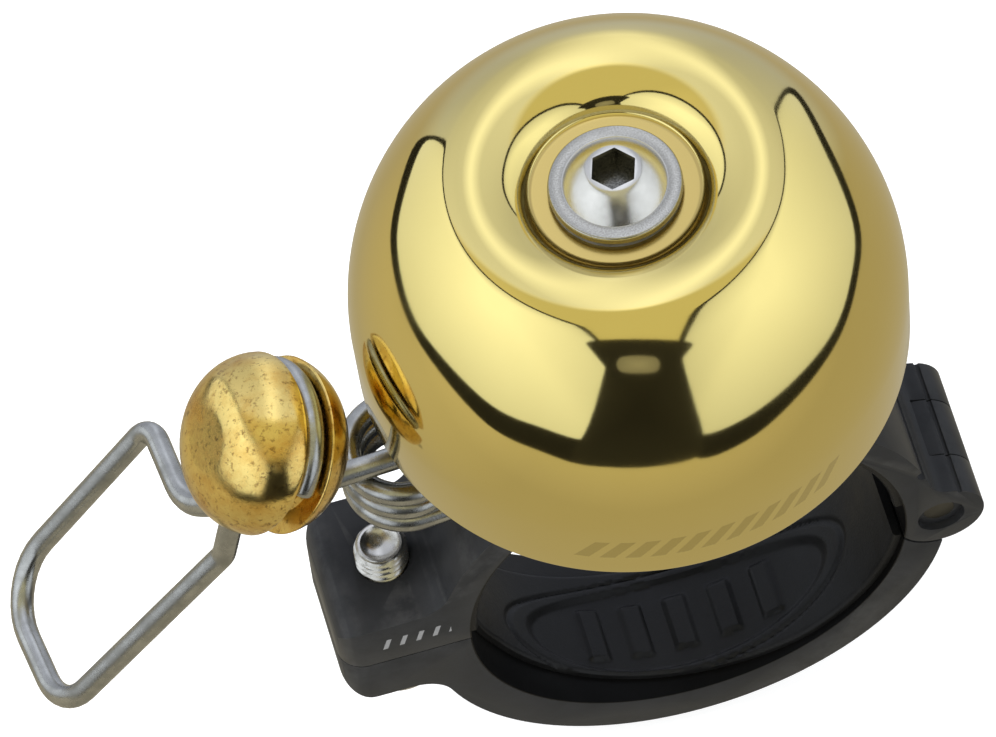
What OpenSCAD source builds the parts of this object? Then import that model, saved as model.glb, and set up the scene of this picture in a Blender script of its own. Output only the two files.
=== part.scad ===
// Handlebar bell: brass dome on a hinged band clamp, struck by a ball on a coiled wire.
// The origin is on the handlebar's axis, in the middle of the clamp's width.
// +Z goes up along the bell, Y is the handlebar's axis and the front of the clamp faces -Y.

/* [Handlebar clamp] */
// Diameter of the handlebar that the clamp grips
bar_d = 31.8; // [30:0.1:32.6]
// Thickness of the rubber liner between the bar and the clamp
liner_t = 0.7; // [0.6:0.05:1]
// Width of the clamp along the bar
clamp_w = 11.5; // [11:0.1:14]
// Wall of the upper clamp arch
arch_t = 2.4; // [2:0.1:3]
// Wall of the lower strap
strap_t = 3.2; // [2.6:0.1:3.6]
// Height of each of the two screw tabs
tab_h = 4.75; // [4:0.05:5.5]
// Distance of the clamp screw from the bar's axis
screw_reach = 21.5; // [21:0.1:22.5]

/* [Dome] */
// Outside diameter of the dome
dome_d = 40; // [38:0.5:41]
// Wall of the dome
dome_wall = 1.6; // [1.2:0.1:2]
// Height of the dome's widest circle above the bar's axis
dome_z = 32; // [31.5:0.1:33]
// Length of the straight skirt below the widest circle
skirt_h = 5.5; // [4.5:0.1:6]
// Depth of the dished top below a full sphere
dish_depth = 5.9; // [5.5:0.1:6.5]

/* [Striker] */
// Diameter of the spring wire
wire_d = 1.75; // [1.5:0.05:1.8]
// Mean radius of the coil
coil_r = 3.65; // [3.3:0.05:3.8]
// Diameter of the striker ball
ball_d = 13.2; // [12.4:0.1:13.4]
// Clear gap between the ball and the dome at rest
strike_gap = 1.7; // [1:0.1:2]
// Width of the finger loop between its two long sides
loop_w = 12.4; // [11:0.1:14]
// Length of the finger loop below the ball
loop_l = 26.4; // [22:0.1:30]

/* [Hidden] */
$fn = 96;
gap = 0.02;       // radial play of parts that are fastened together
run_gap = 0.05;   // radial play of parts that turn
split_gap = 0.06; // half of the slit between the clamp's halves
eps = 0.5;        // overshoot of a cutting tool

// Clamp
bore_r = bar_d / 2 + liner_t;
arch_r = bore_r + arch_t;
lip_h = 2;                 // how far the liner's lip stands out from the bore
lip_t = 1.6;
lip_reach = 15;
strap_r = bore_r + strap_t;
knuckle_r = 3.3;
hinge = [bore_r + 2.7, 0, -1.1];
knuckle_w = 4.8;           // the strap's knuckle, between the base's two
knuckle_lines = [62, 98];  // where fine grooves run along the knuckles, in degrees
line_r = 0.22;
arch_groove_a = 16.5;      // where a deeper groove parts the arch from the knuckles
arch_groove_r = 0.5;
pin_r = 1.15;
pin_recess = 0.6;
pin_head_r = 1.8;          // the shallow counterbores at the pin's ends
tab_end = screw_reach + 4.9;
tab_round = 2.4;
tab_fillet = 3;
corner_r = 2;              // the tabs' upright corners
screw_r = 2;               // an M4 cap screw with a 3 mm socket
head_r = 3.5;
head_h = 4;
socket_af = 3;
socket_h = 2;
screw_tip = 2.4;           // how far the screw stands out above the tab
cup_r = 1.5;               // the hollow in the screw's end
cup_h = 0.6;
washer_t = 0.5;
washer_r = 3.6;
washer_gap = 0.2;          // play round the washer in the strap's flat
slot_r = screw_r + 0.25;
slot_l = 1.1;

// Dome stack
axis_x = -1;               // the dome stands 1 mm towards the striker's side
dome_r = dome_d / 2;
boss_r = 5.5;
boss_top = arch_r + 1.4;
lock_t = 1;
post_r = 4.2;
post_z = boss_top + lock_t;
seat_z = dome_z + dome_r - dish_depth;
seat_r = 6.2;
crown_angle = 52;          // the sphere ends and the rounded crown starts here
seat_wall = 58;            // steepness of the dish where it meets the seat
crown_pull = 2.6;          // how far the sphere's direction carries into the crown
seat_pull = 2.2;
lip_draft = 0.1;           // the skirt draws in by this much at its edge
isolator_t = 1.2;
top_washer_t = 0.4;
post_top = seat_z - dome_wall - isolator_t;
dome_hole_r = 3.6;
bolt_r = 2.5;
flange_r = 4.8;
flange_t = 0.65;
button_r = 3.7;            // the head slopes from 50 degrees at its rim to 38 at its top
button_arc_r = 12.3;
button_c = [button_r - button_arc_r * cos(40), -button_arc_r * sin(40)];
button_turn = 12;          // how the socket happens to stand

// Striker, in its own frame: the dome's axis is Z and the striker points along -X
striker_turn = 3;          // the striker points slightly forwards
wire_r = wire_d / 2;
coil_x = -17.85;
coil_y = 1.65;
coil_pitch = wire_d + 0.12;
coil_z = 14.1;             // the tail and the first turn
coil_turns = 2.5;
tail_l = 8.4;              // the tail lies in the clamp's spring block
set_screw_x = -10.4;
set_screw_r = 1.25;
set_screw_l = 2.6;
arm_z = 20;                // the straight arm above the coil
flex_x = -23.3;            // where the arm bends when the bell is rung
ball_r = ball_d / 2;
ball_w = 10;
ball_round = 4.6;
ball_tilt = 35;            // the ball's axis rises outwards
ball_span = (ball_r - ball_round) * sin(ball_tilt) + (ball_w / 2 - ball_round) * cos(ball_tilt) + ball_round;
ball_c = [-(dome_r + strike_gap + ball_span), 0, 27.6];
groove_off = 0.45;         // the groove sits on the dome's side of the ball
groove_w = 2.3;
groove_r = ball_r - 1.15;  // the wire's centre line in the groove
loop_dip = 50;             // the finger loop hangs outwards and down
loop_root = [-29.6, 0, arm_z];

module at_dome() { translate([axis_x, 0, 0]) children(); }
module at_striker() { at_dome() rotate([0, 0, striker_turn]) children(); }

// Extrudes an XZ outline to a width along the bar
module across(w) { rotate([90, 0, 0]) linear_extrude(w, center = true) children(); }

function arc_points(c, r, a0, a1, n) =
    [for (i = [0 : n]) c + r * [cos(a0 + (a1 - a0) * i / n), sin(a0 + (a1 - a0) * i / n)]];

// ---- clamp ----

module screw_hole(r) {
    translate([-screw_reach, 0, -3 * tab_h]) cylinder(r = r, h = 6 * tab_h);
}

// Rounds the tabs' upright corners when it is cut away
module tab_corners() {
    for (s = [-1, 1])
        translate([-tab_end, s * clamp_w / 2, -2 * tab_h]) linear_extrude(4 * tab_h) difference() {
            square(2 * corner_r, center = true);
            translate([corner_r, -s * corner_r]) circle(r = corner_r);
        }
}

// A tab with one rounded end corner and a fillet into the ring, above z = split_gap
module tab_outline(ring_r) {
    fc = [-sqrt(pow(ring_r + tab_fillet, 2) - pow(tab_h + tab_fillet, 2)), tab_h + tab_fillet];
    intersection() {
        difference() {
            union() {
                translate([-tab_end, 0]) square([tab_end - bore_r, tab_h - tab_round]);
                translate([-tab_end + tab_round, 0]) square([tab_end - bore_r - tab_round, tab_h]);
                translate([-tab_end + tab_round, tab_h - tab_round]) circle(r = tab_round);
                polygon([[fc[0], tab_h - eps], [fc[0], tab_h], fc * ring_r / norm(fc), [-bore_r, tab_h - eps]]);
            }
            translate(fc) circle(r = tab_fillet);
        }
        translate([-tab_end, split_gap]) square(tab_end);
    }
}

module half_ring(r) {
    intersection() {
        circle(r = r);
        translate([-r, split_gap]) square([2 * r, r]);
    }
}

module hinge_disc(extra = 0) { translate([hinge[0], hinge[2]]) circle(r = knuckle_r + extra); }

// A knuckle's outline, with fine grooves along its back
module knuckle_outline() {
    difference() {
        hinge_disc();
        for (a = knuckle_lines)
            translate([hinge[0] + knuckle_r * cos(a), hinge[2] + knuckle_r * sin(a)]) circle(r = line_r);
    }
}

// Fills the corner between the arch and the hinge knuckle with a concave fillet
module hinge_web() {
    f = 2;
    h = [hinge[0], hinge[2]];
    a = acos((pow(arch_r + f, 2) + pow(norm(h), 2) - pow(knuckle_r + f, 2)) / (2 * (arch_r + f) * norm(h)));
    turn = a + atan2(h[1], h[0]);
    fc = (arch_r + f) * [cos(turn), sin(turn)];
    difference() {
        polygon([fc * arch_r / norm(fc), h + (fc - h) * knuckle_r / (knuckle_r + f), h, [bore_r, 0]]);
        translate(fc) circle(r = f);
    }
}

module knuckle_slots() {
    translate([hinge[0], 0, hinge[2]])
        rotate([90, 0, 0]) {
            cylinder(r = pin_r + gap, h = 2 * clamp_w, center = true);
            for (s = [-1, 1])
                translate([0, 0, s * clamp_w / 2])
                    cylinder(r = pin_head_r, h = 2 * pin_recess, center = true);
        }
    across(knuckle_w + 0.2) hinge_disc(0.2);
}

// Holds the spring wire's tail
module spring_block() {
    at_striker() translate([set_screw_x - 2, coil_y - coil_r - 3, coil_z - 2.9]) cube([7, 6, 5.6]);
}

module clamp_base() {
    color([0.13, 0.13, 0.14]) difference() {
        union() {
            across(clamp_w) {
                half_ring(arch_r);
                tab_outline(arch_r);
                hinge_web();
                knuckle_outline();
            }
            at_dome() translate([0, 0, bore_r - 1]) cylinder(r = boss_r, h = boss_top - bore_r + 1);
            intersection() {
                spring_block();
                across(clamp_w) translate([-arch_r, 0]) square(2 * arch_r);
            }
        }
        rotate([90, 0, 0]) cylinder(r = bore_r, h = 2 * clamp_w, center = true);
        screw_hole(screw_r + gap);
        tab_corners();
        knuckle_slots();
        at_dome() cylinder(r = bolt_r + gap, h = 2 * boss_top);
        at_striker() {
            translate([coil_x, coil_y - coil_r, coil_z]) rotate([0, 90, 0])
                cylinder(r = wire_r + gap, h = tail_l + 0.2);
            translate([set_screw_x, coil_y - coil_r, coil_z])
                cylinder(r = set_screw_r + gap, h = 2 * set_screw_l);
        }
        across(2 * clamp_w) rotate(arch_groove_a) translate([arch_r, 0]) circle(r = arch_groove_r);
    }
}

module clamp_strap() {
    color([0.11, 0.11, 0.12]) difference() {
        union() {
            difference() {
                across(clamp_w) mirror([0, 1]) {
                    half_ring(strap_r);
                    tab_outline(strap_r);
                }
                for (s = [-1, 1])
                    translate([0, s * (knuckle_w / 2 + clamp_w / 2), 0])
                        across(clamp_w) hinge_disc(0.2);
            }
            across(knuckle_w) knuckle_outline();
        }
        rotate([90, 0, 0]) cylinder(r = bore_r, h = 2 * clamp_w, center = true);
        translate([hinge[0], 0, hinge[2]]) rotate([90, 0, 0])
            cylinder(r = pin_r + run_gap, h = 2 * clamp_w, center = true);
        tab_corners();
        // a slot lets the strap swing while the screw stays upright
        for (x = [0, -slot_l]) translate([x, 0, 0]) screw_hole(slot_r);
        translate([-screw_reach - slot_l, -slot_r, -3 * tab_h]) cube([slot_l, 2 * slot_r, 6 * tab_h]);
        // a flat for the washer, cut into the tab's fillet
        translate([-screw_reach, 0, -3 * tab_h]) cylinder(r = washer_r + washer_gap, h = 2 * tab_h);
    }
}

module hinge_pin() {
    color([0.66, 0.66, 0.67]) translate([hinge[0], 0, hinge[2]]) rotate([90, 0, 0])
        cylinder(r = pin_r, h = clamp_w - 2 * pin_recess, center = true);
}

module clamp_screw() {
    color([0.72, 0.72, 0.73]) translate([-screw_reach, 0, 0]) difference() {
        union() {
            translate([0, 0, -tab_h - washer_t]) cylinder(r = screw_r, h = 2 * tab_h + washer_t + screw_tip);
            translate([0, 0, -tab_h - washer_t - head_h]) cylinder(r = head_r, h = head_h);
        }
        translate([0, 0, -tab_h - washer_t - head_h - eps])
            cylinder(d = socket_af / cos(30), h = socket_h + eps, $fn = 6);
        translate([0, 0, tab_h + screw_tip - cup_h]) cylinder(r1 = 0.1, r2 = cup_r, h = cup_h + 0.01);
    }
}

module clamp_screw_washer() {
    color([0.6, 0.6, 0.6]) translate([-screw_reach, 0, -tab_h - washer_t + gap]) difference() {
        cylinder(r = washer_r, h = washer_t - 2 * gap);
        translate([0, 0, -eps]) cylinder(r = screw_r + 0.1, h = washer_t + 2 * eps);
    }
}

// One half of the rubber liner, clear of the hinge so that the strap can swing
module liner_half(lower) {
    color([0.08, 0.08, 0.08]) across(clamp_w - 1) difference() {
        mirror([0, lower ? 1 : 0]) half_ring(bore_r - gap);
        circle(r = bar_d / 2 + run_gap);
        hinge_disc(0.2);
        if (lower) translate([-strap_r, -1]) square(2 * strap_r);
    }
}

// A soft lip behind the clamp keeps the lower liner in place
module liner_lip() {
    translate([0, clamp_w / 2, 0]) color([0.08, 0.08, 0.08]) intersection() {
        rotate([-90, 0, 0]) difference() {
            union() {
                translate([0, 0, run_gap]) cylinder(r = bore_r + lip_h, h = lip_t);
                translate([0, 0, -1]) cylinder(r = bore_r - gap, h = 1 + lip_t);
            }
            translate([0, 0, -clamp_w]) cylinder(r = bore_r - 0.3, h = 2 * clamp_w);
        }
        translate([-lip_reach, -1, -strap_r]) cube([2 * lip_reach, 1 + 2 * lip_t, strap_r - 7]);
    }
}

module liner_upper() { liner_half(false); }
module liner_lower() {
    liner_half(true);
    liner_lip();
}

// ---- dome stack ----

// A cubic curve's points, without the first
function bezier(p0, p1, p2, p3, n) =
    [for (i = [1 : n]) let (t = i / n)
        pow(1 - t, 3) * p0 + 3 * t * pow(1 - t, 2) * p1 + 3 * t * t * (1 - t) * p2 + pow(t, 3) * p3];

// Half outline of the dome's skin at a distance in from the outside: the skirt,
// the sphere, then a rounded crown that rolls down into the dished seat
function dome_skin(inset) =
    let (r = dome_r - inset,
         crown = [0, dome_z] + r * [cos(crown_angle), sin(crown_angle)],
         seat = [seat_r, seat_z - inset])
    concat([[r - lip_draft, dome_z - skirt_h]],
           arc_points([0, dome_z], r, 0, crown_angle, 24),
           bezier(crown, crown + crown_pull * [-sin(crown_angle), cos(crown_angle)],
                  seat + seat_pull * [cos(seat_wall), sin(seat_wall)], seat, 16));

module bell_dome() {
    outer = dome_skin(0);
    inner = dome_skin(dome_wall);
    skin = concat(outer, [[dome_hole_r, seat_z], [dome_hole_r, seat_z - dome_wall]],
                  [for (i = [len(inner) - 1 : -1 : 0]) inner[i]]);
    color([0.83, 0.68, 0.33]) at_dome() rotate_extrude() polygon(skin);
}

module dome_screw() {
    head_z = seat_z + top_washer_t;
    slope = arc_points(button_c, button_arc_r, 40, 52, 6);
    color([0.75, 0.75, 0.76]) at_dome() difference() {
        union() {
            translate([0, 0, post_top - 8]) cylinder(r = bolt_r, h = head_z - post_top + 8);
            translate([0, 0, head_z]) cylinder(r1 = flange_r, r2 = flange_r - 0.25, h = flange_t);
            translate([0, 0, head_z + flange_t]) rotate_extrude()
                polygon(concat([[0, 0]], slope, [[0, slope[len(slope) - 1][1]]]));
        }
        translate([0, 0, head_z + 0.4]) rotate(button_turn)
            cylinder(d = socket_af / cos(30), h = 5, $fn = 6);
    }
}

module ring(r_out, r_in, h) {
    difference() {
        cylinder(r = r_out, h = h);
        translate([0, 0, -eps]) cylinder(r = r_in, h = h + 2 * eps);
    }
}

module dome_top_washer() {
    color([0.2, 0.2, 0.2]) at_dome() translate([0, 0, seat_z + gap / 2])
        ring(flange_r - 0.1, bolt_r + 0.1, top_washer_t - gap);
}

module dome_isolator() {
    color([0.1, 0.1, 0.1]) at_dome() translate([0, 0, post_top + gap]) {
        ring(5.4, bolt_r + gap, isolator_t - 2 * gap);
        ring(dome_hole_r - gap, bolt_r + gap, isolator_t + dome_wall - 2 * gap);
    }
}

module center_post() {
    hex_h = 4;
    color([0.2, 0.2, 0.21]) at_dome() difference() {
        union() {
            translate([0, 0, post_z]) cylinder(d = 10 / cos(30), h = hex_h, $fn = 6);
            translate([0, 0, post_z]) cylinder(r = post_r, h = post_top - post_z);
            translate([0, 0, bore_r + 0.3]) cylinder(r = bolt_r, h = post_z - bore_r);
        }
        translate([0, 0, post_top - 9]) cylinder(r = bolt_r + gap, h = 10);
    }
}

module post_lock_washer() {
    color([0.6, 0.6, 0.6]) at_dome() translate([0, 0, boss_top + gap / 2])
        ring(4.6, bolt_r + 0.1, lock_t - gap);
}

// ---- striker ----

function unit(v) = v / norm(v);
function side_of(v) = unit(cross(abs(v[2]) < 0.9 ? [0, 0, 1] : [1, 0, 0], v));

// A frame with its X, Y and Z axes along x, y and z and its origin at p
function frame_at(p, x, y, z) =
    [[x[0], y[0], z[0], p[0]], [x[1], y[1], z[1], p[1]], [x[2], y[2], z[2], p[2]], [0, 0, 0, 1]];

module wire_straight(a, b) {
    z = unit(b - a);
    x = side_of(z);
    multmatrix(frame_at(a, x, cross(z, x), z)) cylinder(r = wire_r, h = norm(b - a));
}

// A ball or a narrow collar, a hair's breadth thicker than the wire, which runs along z
module wire_bead(p, z) {
    x = side_of(z);
    multmatrix(frame_at(p, x, cross(z, x), z)) sphere(r = wire_r + 0.015);
}

module wire_collar(p, z) {
    x = side_of(z);
    multmatrix(frame_at(p, x, cross(z, x), z)) cylinder(r = wire_r + 0.015, h = 0.3, center = true);
}

// A bend that starts at p along u and turns towards n
module wire_bend(p, u, n, r, angle) {
    multmatrix(frame_at(p + n * r, -n, u, cross(-n, u)))
        rotate_extrude(angle = angle) translate([r, 0]) circle(r = wire_r, $fn = 48);
}

module wire_half_turn(p, u, q) { wire_bend(p, u, unit(q - p), norm(q - p) / 2, 180); }

// How much of each side a corner of the path uses up
function corner_trim(path, radii, i) =
    i == 0 || i == len(path) - 1 ? 0 :
    let (u = unit(path[i] - path[i - 1]), w = unit(path[i + 1] - path[i]))
    radii[i] * tan(acos(u * w) / 2);

module wire_path(path, radii) {
    for (i = [1 : len(path) - 1]) {
        u = unit(path[i] - path[i - 1]);
        wire_straight(path[i - 1] + u * corner_trim(path, radii, i - 1),
                      path[i] - u * corner_trim(path, radii, i));
        if (i < len(path) - 1) {
            w = unit(path[i + 1] - path[i]);
            wire_bend(path[i] - u * corner_trim(path, radii, i), u,
                      unit(w - u * (u * w)), radii[i], acos(u * w));
            wire_collar(path[i] - u * corner_trim(path, radii, i), u);
            wire_collar(path[i] + w * corner_trim(path, radii, i), w);
        }
    }
}

module striker_coil() {
    front = coil_y - coil_r;
    back = coil_y + coil_r;
    color([0.68, 0.69, 0.68]) at_striker() {
        for (i = [0 : 2 * coil_turns - 1]) {
            near = i % 2 == 0;
            wire_half_turn([coil_x, near ? front : back, coil_z + i * coil_pitch / 2],
                           [near ? -1 : 1, 0, 0],
                           [coil_x, near ? back : front, coil_z + (i + 1) * coil_pitch / 2]);
            wire_bead([coil_x, near ? front : back, coil_z + i * coil_pitch / 2], [1, 0, 0]);
        }
        wire_bead([coil_x, back, coil_z + coil_turns * coil_pitch], [1, 0, 0]);
        wire_bead([coil_x, 0, arm_z], [1, 0, 0]);
        wire_half_turn([coil_x, back, coil_z + coil_turns * coil_pitch], [1, 0, 0], [coil_x, 0, arm_z]);
        wire_straight([coil_x, 0, arm_z], [flex_x + wire_r + 2 * run_gap, 0, arm_z]);
        wire_straight([coil_x + tail_l, front, coil_z], [coil_x, front, coil_z]);
    }
}

// A point of the finger loop's plane: a forwards, b outwards and down
function loop_point(a, b) = loop_root + [-b * cos(loop_dip), -a, -b * sin(loop_dip)];

ball_n = [-cos(ball_tilt), 0, sin(ball_tilt)];
groove_c = ball_c - groove_off * ball_n;

// A point of the groove's circle and its direction there: 0 is at the top, 90 at the front
function groove_up() = [sin(ball_tilt), 0, cos(ball_tilt)];
function groove_point(t) = groove_c + groove_r * (cos(t) * groove_up() + sin(t) * [0, -1, 0]);
function groove_dir(t) = -sin(t) * groove_up() + cos(t) * [0, -1, 0];

module striker_lever() {
    start = 190;
    wrap = 245;
    front_a = 1.4;
    back_a = front_a - 1 - loop_w;
    path = [[flex_x, 0, arm_z], loop_root, loop_point(-4.4, 6.2),
            loop_point(back_a, 6.6), loop_point(back_a, loop_l + 0.4),
            loop_point(front_a - 1, loop_l - 0.8), loop_point(front_a, 4.2),
            groove_point(start) - 2 * groove_dir(start), groove_point(start)];
    color([0.68, 0.69, 0.68]) at_striker() {
        wire_path(path, [0, 1.5, 4, 1.8, 4.8, 3.6, 1.8, 1.3, 0]);
        wire_bend(groove_point(start), groove_dir(start), unit(groove_c - groove_point(start)),
                  groove_r, wrap);
        wire_collar(groove_point(start), groove_dir(start));
        wire_bead(path[0], [-1, 0, 0]);
    }
}

module striker_ball() {
    half = ball_w / 2;
    // One quarter of the turned outline, from the flat end to the widest circle
    quarter = concat([[0, half]], arc_points([ball_r - ball_round, half - ball_round], ball_round, 90, 0, 12));
    outline = concat(quarter, [for (i = [len(quarter) - 1 : -1 : 0]) [quarter[i][0], -quarter[i][1]]]);
    color([0.72, 0.5, 0.2]) at_striker() translate(ball_c)
        rotate([0, ball_tilt - 90, 0]) difference() {
            rotate_extrude() polygon(outline);
            translate([0, 0, -groove_off - groove_w / 2])
                ring(2 * ball_r, groove_r - wire_r - run_gap, groove_w);
        }
}

module spring_set_screw() {
    color([0.25, 0.25, 0.26]) at_striker()
        translate([set_screw_x, coil_y - coil_r, coil_z + wire_r + gap]) difference() {
            cylinder(r = set_screw_r, h = set_screw_l);
            translate([0, 0, set_screw_l / 2]) cylinder(d = set_screw_r / cos(30), h = set_screw_l, $fn = 6);
        }
}

bell_dome();
dome_screw();
dome_top_washer();
dome_isolator();
center_post();
post_lock_washer();
clamp_base();
clamp_strap();
hinge_pin();
clamp_screw();
clamp_screw_washer();
liner_upper();
liner_lower();
striker_coil();
striker_lever();
striker_ball();
spring_set_screw();
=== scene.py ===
"""Bicycle bell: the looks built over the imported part, with a pale studio and a camera."""

import math

import bmesh
import bpy
from mathutils import Matrix, Vector


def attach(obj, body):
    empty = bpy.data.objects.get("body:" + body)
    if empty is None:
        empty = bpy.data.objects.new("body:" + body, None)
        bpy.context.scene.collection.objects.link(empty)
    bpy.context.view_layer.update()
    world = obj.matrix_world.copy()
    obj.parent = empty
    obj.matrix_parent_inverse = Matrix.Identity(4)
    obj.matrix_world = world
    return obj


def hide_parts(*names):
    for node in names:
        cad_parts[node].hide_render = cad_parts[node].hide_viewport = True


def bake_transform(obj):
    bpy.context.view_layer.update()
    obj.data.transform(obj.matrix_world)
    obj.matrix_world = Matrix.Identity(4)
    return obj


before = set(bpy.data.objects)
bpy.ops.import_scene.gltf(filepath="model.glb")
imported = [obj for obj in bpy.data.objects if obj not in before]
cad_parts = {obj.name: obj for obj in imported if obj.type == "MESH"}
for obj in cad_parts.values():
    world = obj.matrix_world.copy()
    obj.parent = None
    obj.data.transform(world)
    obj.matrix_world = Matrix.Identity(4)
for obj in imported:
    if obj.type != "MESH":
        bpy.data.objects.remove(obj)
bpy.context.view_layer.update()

MM = 0.001

# The part's main sizes, in millimetres and degrees
DOME_AXIS_X = -1.0
DOME_R = 20.0
DOME_Z = 32.0
DOME_WALL = 1.6
SKIRT_H = 5.5
CROWN_ANGLE = 52
SEAT_Z = 46.1
SEAT_R = 6.2
SEAT_WALL = 58
BUTTON_R = 3.7
BUTTON_ARC_R = 12.3
BORE_R = 16.6
BAR_R = 15.9
LINER_HALF_W = 5.25
STRAP_R = 19.8
WIRE_R = 0.875
COIL_R = 3.65
COIL_PITCH = 1.87
COIL_Z = 14.1
ARM_Z = 20.0
SCREW_X = -21.5


# ---------------------------------------------------------------- meshes

def add_piece(name, mesh, body, material, stands_for=()):
    """Adds a mesh as a piece that rides on a CAD body and stands for CAD nodes."""
    obj = bpy.data.objects.new(name, mesh)
    bpy.context.scene.collection.objects.link(obj)
    mesh.materials.clear()
    mesh.materials.append(material)
    if body:
        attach(obj, body)
    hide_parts(*stands_for)
    return obj


def build_mesh(name, points, faces, crease=35, place=None):
    """A mesh from points in millimetres. Edges sharper than crease degrees stay sharp."""
    mesh = bpy.data.meshes.new(name)
    mesh.from_pydata([Vector(p) * MM for p in points], [], faces)
    if place is not None:
        mesh.transform(place)
    soften(mesh, crease)
    return mesh


def soften(mesh, crease):
    """Turns the faces outwards and shades the mesh smoothly up to the crease angle."""
    work = bmesh.new()
    work.from_mesh(mesh)
    bmesh.ops.recalc_face_normals(work, faces=work.faces)
    work.to_mesh(mesh)
    work.free()
    mesh.shade_smooth()
    mesh.set_sharp_from_angle(angle=math.radians(crease))


def lathe(outline, segments=160, closed=True):
    """Turns an (r, z) outline round Z. A point with r = 0 becomes one vertex on the axis."""
    points, rings, faces = [], [], []
    for r, z in outline:
        if r == 0:
            rings.append([len(points)] * segments)
            points.append((0, 0, z))
        else:
            rings.append([len(points) + i for i in range(segments)])
            turn = [math.tau * i / segments for i in range(segments)]
            points += [(r * math.cos(a), r * math.sin(a), z) for a in turn]
    followers = rings[1:] + rings[:1] if closed else rings[1:]
    for low, high in zip(rings, followers):
        for i in range(segments):
            j = (i + 1) % segments
            corners = list(dict.fromkeys([low[i], low[j], high[j], high[i]]))
            if len(corners) > 2:
                faces.append(corners)
    return points, faces


def arc(centre, radius, start, end, steps):
    """Points of an arc in the (r, z) plane, with its angles in degrees."""
    turn = [math.radians(start + (end - start) * i / steps) for i in range(steps + 1)]
    return [(centre[0] + radius * math.cos(a), centre[1] + radius * math.sin(a)) for a in turn]


def bezier(p0, p1, p2, p3, steps):
    """Points of a cubic curve, without its first point."""
    curve = []
    for i in range(1, steps + 1):
        t = i / steps
        w = ((1 - t) ** 3, 3 * t * (1 - t) ** 2, 3 * t * t * (1 - t), t ** 3)
        curve.append(tuple(sum(k * p[axis] for k, p in zip(w, (p0, p1, p2, p3))) for axis in (0, 1)))
    return curve


def rounded_path(corners, radii, step=12):
    """Follows straight lines between corners and rounds each corner to its radius."""
    path = [corners[0]]
    for i in range(1, len(corners) - 1):
        before = (corners[i] - corners[i - 1]).normalized()
        after = (corners[i + 1] - corners[i]).normalized()
        angle = before.angle(after)
        inward = (after - before * before.dot(after)).normalized()
        start = corners[i] - before * radii[i] * math.tan(angle / 2)
        steps = max(3, int(math.degrees(angle) / step) + 2)
        for k in range(steps + 1):
            a = angle * k / steps
            path.append(start + radii[i] * (before * math.sin(a) + inward * (1 - math.cos(a))))
    path.append(corners[-1])
    return path


def even_path(path, spacing):
    """Adds points so that no stretch of the path is longer than spacing."""
    even = [path[0]]
    for a, b in zip(path, path[1:]):
        count = max(1, math.ceil((b - a).length / spacing))
        even += [a.lerp(b, k / count) for k in range(1, count + 1)]
    return even


def tube_faces(rings, sides):
    """Faces that join rings of points into a tube, with a cap at each end."""
    faces = []
    for low in range(0, (rings - 1) * sides, sides):
        high = low + sides
        for k in range(sides):
            j = (k + 1) % sides
            faces.append((low + k, low + j, high + j, high + k))
    faces.append(tuple(range(sides)))
    faces.append(tuple(range((rings - 1) * sides, rings * sides)))
    return faces


def sweep(path, radius, sides=28, chamfer=0.12):
    """A round wire along a path, without twist, with slightly broken edges at its ends."""
    tangents = [(path[min(i + 1, len(path) - 1)] - path[max(i - 1, 0)]).normalized()
                for i in range(len(path))]
    side = tangents[0].orthogonal().normalized()
    rings = []
    for point, tangent in zip(path, tangents):
        side = (side - tangent * side.dot(tangent)).normalized()
        rings.append((point, side, tangent.cross(side), radius))
    first, last = rings[0], rings[-1]
    rings[0] = (first[0] + tangents[0] * chamfer, *first[1:])
    rings[-1] = (last[0] - tangents[-1] * chamfer, *last[1:])
    rings.insert(0, (*first[:3], radius - chamfer))
    rings.append((*last[:3], radius - chamfer))
    points = []
    for point, across, up, r in rings:
        for k in range(sides):
            a = math.tau * k / sides
            points.append(point + r * (across * math.cos(a) + up * math.sin(a)))
    return points, tube_faces(len(rings), sides)


def bevelled_copy(cad_name, width):
    """A copy of a CAD node with its sharp edges rounded to width, in millimetres."""
    weld, flat_angle, sharp_angle = 0.002, 0.6, 28
    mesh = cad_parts[cad_name].data.copy()
    work = bmesh.new()
    work.from_mesh(mesh)
    bmesh.ops.remove_doubles(work, verts=work.verts, dist=weld * MM)
    bmesh.ops.dissolve_limit(work, angle_limit=math.radians(flat_angle),
                             verts=work.verts, edges=work.edges)
    sharp = [e for e in work.edges
             if e.is_manifold and e.calc_face_angle(0) > math.radians(sharp_angle)]
    bmesh.ops.bevel(work, geom=sharp, offset=width * MM, segments=2, profile=0.6,
                    affect="EDGES", clamp_overlap=True)
    work.to_mesh(mesh)
    work.free()
    soften(mesh, 35)
    return mesh


def cut_hex(mesh, across_flats, place, depth):
    """Cuts a hexagonal socket that starts at place and goes down its Z axis by depth."""
    sides = 6
    r = across_flats / 2 / math.cos(math.pi / sides)
    turn = [math.tau * i / sides for i in range(sides)]
    points = [(r * math.cos(a), r * math.sin(a), z) for z in (-depth, depth) for a in turn]
    tool_mesh = build_mesh("socket_tool", points, tube_faces(2, sides), place=place)
    body = bpy.data.objects.new("socket_body", mesh)
    tool = bpy.data.objects.new("socket_tool", tool_mesh)
    for obj in (body, tool):
        bpy.context.scene.collection.objects.link(obj)
    cut = body.modifiers.new("socket", "BOOLEAN")
    cut.object = tool
    cut.operation = "DIFFERENCE"
    cut.solver = "EXACT"
    evaluated = body.evaluated_get(bpy.context.evaluated_depsgraph_get())
    result = bpy.data.meshes.new_from_object(evaluated)
    for obj in (body, tool):
        bpy.data.objects.remove(obj)
    soften(result, 35)
    return result


# ---------------------------------------------------------------- materials

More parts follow.
